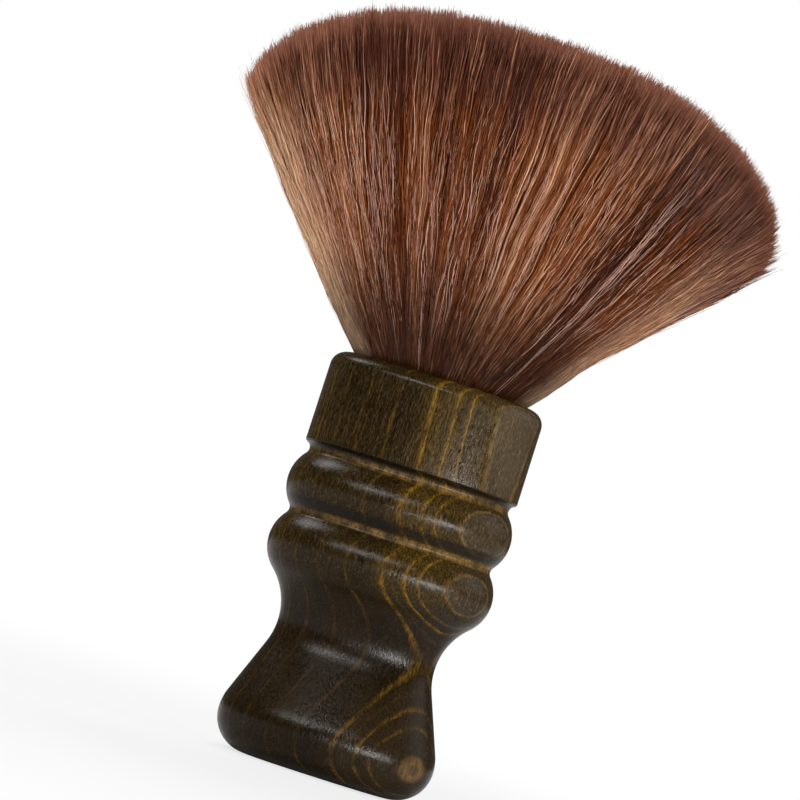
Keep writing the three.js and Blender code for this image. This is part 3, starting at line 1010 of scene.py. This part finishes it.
def makeHighlightLocks(name, face):
    p = highlightLocks
    middle = np.linspace(-1.0, 1.0, p["count"])
    middle = p["spread"] * (middle - p["moreLeft"] * (1 - middle ** 2))
    middle = middle + dice.normal(size=p["count"]) * p["uneven"]
    scale, limit = p["extra"]
    sizes = 1 + np.minimum(dice.exponential(scale, p["count"]), limit).astype(int)
    group = np.repeat(np.arange(p["count"]), sizes)
    count = len(group)
    s = np.clip(middle[group] + dice.normal(size=count) * p["apart"], -0.99, 0.99)
    t = face * p["depth"] * (1 - np.abs(s) ** fan["fullness"]) ** (1 / fan["fullness"])
    shortest, more = p["length"]
    reach = (shortest + more * dice.random(p["count"]))[group] + dice.normal(size=count) * p["unevenLength"]
    waves = [waveSet(p["count"], *wave) for wave in p["waves"]]
    narrow, more = p["lockWidth"]
    wide = (narrow + more * np.sqrt(sizes))[group]
    least, more = p["paleness"]
    chance = least + more * dice.random(p["count"])[group] ** 1.5
    chance = chance + p["palerLeft"] * (s < -0.75)
    spread = [dice.normal(size=count) * wide * 1.6, dice.normal(size=count) * wide]
    least, more = p["off"]
    off = (least + more * dice.random(p["count"]))[group]
    own = waveSet(count, *p["ownWave"])
    stray = {
        "group": group, "waves": waves, "own": own,
        "spread": spread, "off": off, "flare": np.zeros(count),
    }
    layOver(name, s, t, np.clip(reach, *p["lengthLimits"]), stray, chance, p["thickness"])


def makeLoose(name):
    count = loose["count"]
    sideways = dice.random(count) < loose["atSides"]
    angle = np.where(sideways, dice.normal(size=count) * loose["turnSpread"], dice.random(count) * anyTurn)
    angle = angle + np.where(sideways & (dice.random(count) < 0.5), math.pi, 0)
    s, t = oval(np.cos(angle), 2 / fan["fullness"]), oval(np.sin(angle), 2 / fan["fullness"])
    (least, more), (faceLeast, faceMore) = loose["sideLength"], loose["faceLength"]
    sideReach = least + more * dice.random(count) ** 0.8
    reach = np.where(sideways, sideReach, faceLeast + faceMore * dice.random(count))
    off = np.abs(dice.normal(size=count)) * loose["off"]
    flare = np.abs(dice.normal(size=count)) * np.where(sideways, loose["sideFlare"], loose["faceFlare"])
    waves = [waveSet(count, *wave) for wave in loose["waves"]]
    own = waveSet(count, *loose["ownWave"])
    spread = [dice.normal(size=count) * loose["spread"], dice.normal(size=count) * loose["spread"]]
    stray = {
        "group": np.arange(count), "waves": waves, "own": own,
        "spread": spread, "off": off, "flare": flare,
    }
    layOver(name, s, t, reach, stray, dice.random(count) * loose["chance"], loose["thickness"])


makeHighlightLocks("highlight_locks_front", -1)
makeHighlightLocks("highlight_locks_back", 1)
makeLoose("loose_filaments")


# the middle of the bundle, which shows between the filaments
core = {
    "share": 0.85,  # of the bundle
    "top": 0.86,
    "sides": 96,
    "levels": 14,
    "topRings": 5,
    "ringWidth": 0.16,
    "tone": 0.2,
    "chance": 0.5,
}


def makeCore():
    piece = addDisc(core["sides"], "TRIFAN")
    piece.name = piece.data.name = "bundle_core"
    startDrawing()
    drawUp(1.0, core["levels"])
    for ring in range(core["topRings"]):
        bpy.ops.mesh.inset(thickness=core["ringWidth"], use_boundary=True)
    stopDrawing()

    # the straight drum is spread to the bundle's shape
    x, y, level = np.array([v.co for v in piece.data.vertices]).T
    angle, reach = np.arctan2(y, x), np.hypot(x, y)
    power = 2 / fan["fullness"]
    s = oval(np.cos(angle), power) * core["share"] * reach
    t = oval(np.sin(angle), power) * core["share"] * reach
    share = -socketShare + (core["top"] + socketShare) * (level / core["levels"])
    high = tipHeight(s, t)
    places = fanPoint(s, t, heightAt(share, high)) * mm
    piece.data.vertices.foreach_set("co", places.astype(np.float32).ravel())
    rise = np.clip(share, 0, 1)
    tone, chance = np.full(len(s), core["tone"]), np.full(len(s), core["chance"])
    storeFacts(piece.data, {
        "filament": np.stack([rise, (1 - rise) * high, tone], axis=-1),
        "lock": np.stack([s * fan["halfWidth"], t * fan["halfDepth"], chance], axis=-1),
    })
    piece.data.update()
    selectOnly(piece)
    bpy.ops.object.shade_smooth()
    return piece


finishPiece(makeCore(), filamentFinish, "filament",
            "bristles_front", "bristles_mid_front", "bristles_mid_back", "bristles_back")
print("fan ready")


resin = {
    "light": colour(206, 172, 112),
    "dark": colour(150, 112, 58),
    "cloudsPerMetre": 260.0,
    "bump": (0.3, 0.0003),
    # the bonded root: minus the depth of cut from the handle's blank, and how far under the rim
    "root": ((-6.4, 13.9), (-6.4, 2.9), (-6.9, 2.4)),
    "sides": 96,
    "roughness": 0.28,
}


def makeResin():
    f = Finish(bpy.data.materials.new("bonding_resin"))
    place = f.add("ShaderNodeTexCoord")["Object"]
    cloudy = f.noise(place, 3.0, scale=resin["cloudsPerMetre"])
    tint = f.mix(cloudy.smoothStep(0.3, 0.7), resin["dark"], resin["light"])
    return f.close(Base_Color=tint, Roughness=resin["roughness"], Normal=f.bump(*resin["bump"], cloudy))


resinFinish = makeResin()
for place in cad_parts["glue_bed"].material_slots:
    place.material = resinFinish
rootPath = [(cut, handleHeight - under) for cut, under in resin["root"]]
finishPiece(extrudeOval("bonded_root", rootPath, resin["sides"]), resinFinish, "bonding_resin")
print("resin ready")


studio = {
    "floorSize": 6.0,
    "floorGrey": 0.86,
    "floorFades": (0.03, 0.35),  # metres from the middle: the floor turns into the background here
    "floorWhite": 0.72,
    "world": 0.1,
    "aim": (0.0, 0.0, 0.075),
    # name, degrees from the front towards the right, degrees up, distance, width, height, watts
    "lamps": [
        ("key", 24, -6, 0.45, 0.05, 0.08, 0.95),
        ("upper", -12, 24, 0.9, 0.14, 0.16, 2.1),
        ("left", -84, 48, 1.0, 0.35, 0.35, 4.2),
        ("side", 85, 28, 1.1, 0.7, 0.7, 1.6),
        ("rear", 180, 55, 1.1, 0.6, 0.6, 5.0),
    ],
}


def makeFloor():
    deselectAll()
    bpy.ops.mesh.primitive_plane_add(size=studio["floorSize"], location=(0, 0, 0))
    floor = bpy.context.object
    floor.name = "floor"
    f = Finish(bpy.data.materials.new("pale_floor"))
    place = f.add("ShaderNodeTexCoord")["Object"]
    far = f.add("ShaderNodeVectorMath", {"operation": "LENGTH"}, {"Vector": place})["Value"]
    seen = f.add("ShaderNodeLightPath")["Is Camera Ray"]
    matte = f.add("ShaderNodeBsdfDiffuse", inputs={"Color": (studio["floorGrey"],) * 3})
    white = f.add("ShaderNodeEmission", inputs={"Color": (1.0, 1.0, 1.0), "Strength": 1.0})
    share = seen * far.smoothStep(*studio["floorFades"], studio["floorWhite"], 1.0)
    mixed = f.add("ShaderNodeMixShader", inputs={0: share, 1: matte["BSDF"], 2: white["Emission"]})
    f.add("ShaderNodeOutputMaterial", inputs={"Surface": mixed["Shader"]})
    floor.data.materials.append(f.owner)


def makeWorld():
    # White where it is seen, dim where it only lights
    f = Finish(bpy.data.worlds.new("studio"))
    path = f.add("ShaderNodeLightPath")
    seen = path["Is Camera Ray"]
    seen = seen.math("MAXIMUM", seen, path["Is Transmission Ray"])
    limits = {"Value": seen, "To Min": studio["world"], "To Max": 1.0}
    strength = f.add("ShaderNodeMapRange", inputs=limits)["Result"]
    sky = f.add("ShaderNodeBackground", inputs={"Color": (1.0, 1.0, 1.0), "Strength": strength})
    f.add("ShaderNodeOutputWorld", inputs={"Surface": sky["Background"]})
    scene.world = f.owner


def makeLamps():
    aim = Vector(studio["aim"])
    for name, turn, rise, distance, width, height, watts in studio["lamps"]:
        turn, rise = math.radians(turn), math.radians(rise)
        away = Vector((math.sin(turn) * math.cos(rise), -math.cos(turn) * math.cos(rise), math.sin(rise)))
        data = bpy.data.lights.new(name, "AREA")
        data.shape = "RECTANGLE"
        data.size = width
        data.size_y = height
        data.energy = watts
        lamp = bpy.data.objects.new(name, data)
        lamp.location = aim + away * distance
        lamp.rotation_euler = away.to_track_quat("Z", "Y").to_euler()
        scene.collection.objects.link(lamp)


makeFloor()
makeWorld()
makeLamps()
print("studio ready")
